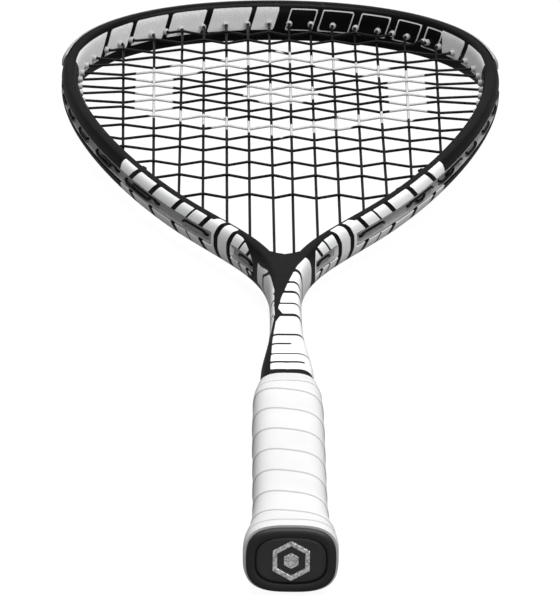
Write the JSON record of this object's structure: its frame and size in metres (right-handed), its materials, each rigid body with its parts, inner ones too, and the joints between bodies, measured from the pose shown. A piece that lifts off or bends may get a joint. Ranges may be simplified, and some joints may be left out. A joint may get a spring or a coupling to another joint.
{
  "type": "squash racket",
  "caption": "Teardrop-headed racket with a woven string bed, an open throat, a slim shaft and a wrapped, flared handle, for striking a small rubber ball.",
  "frame": {"origin": "centre of the butt cap's end face", "axes": "+Y along the racket from the butt end to the tip, +X across the head to the right, +Z square to the string bed, which lies in z = 0"},
  "size_m": [0.2132, 0.686, 0.0296],
  "materials": {
    "lacquered_composite": "satin black lacquer with white blocks over carbon composite",
    "nylon": "moulded grey nylon",
    "string": "smooth black synthetic string",
    "foam": "moulded foam",
    "cap_plastic": "fine-textured black plastic",
    "pad_plastic": "satin dark grey plastic",
    "silver_badge": "bright silver foil",
    "steel_wire": "bright drawn wire",
    "grip_wrap": "soft white polyurethane tape"
  },
  "bodies": {
    "root": {"frame": "lacquered_composite", "bumper_guard": "nylon", "side_grommet_strip_left": "nylon", "side_grommet_strip_right": "nylon", "lower_grommet_strip_left": "nylon", "lower_grommet_strip_right": "nylon", "throat_grommet_strip_left": "nylon", "throat_grommet_strip_right": "nylon", "main_string": "string", "cross_string": "string", "handle_core": "foam", "butt_cap": "cap_plastic", "butt_cap_pad": "pad_plastic", "butt_emblem": "silver_badge", "cap_staple_upper": "steel_wire", "cap_staple_lower": "steel_wire", "grip_tape": "grip_wrap", "finishing_tape": "grip_wrap"}
  },
  "joints": []
}
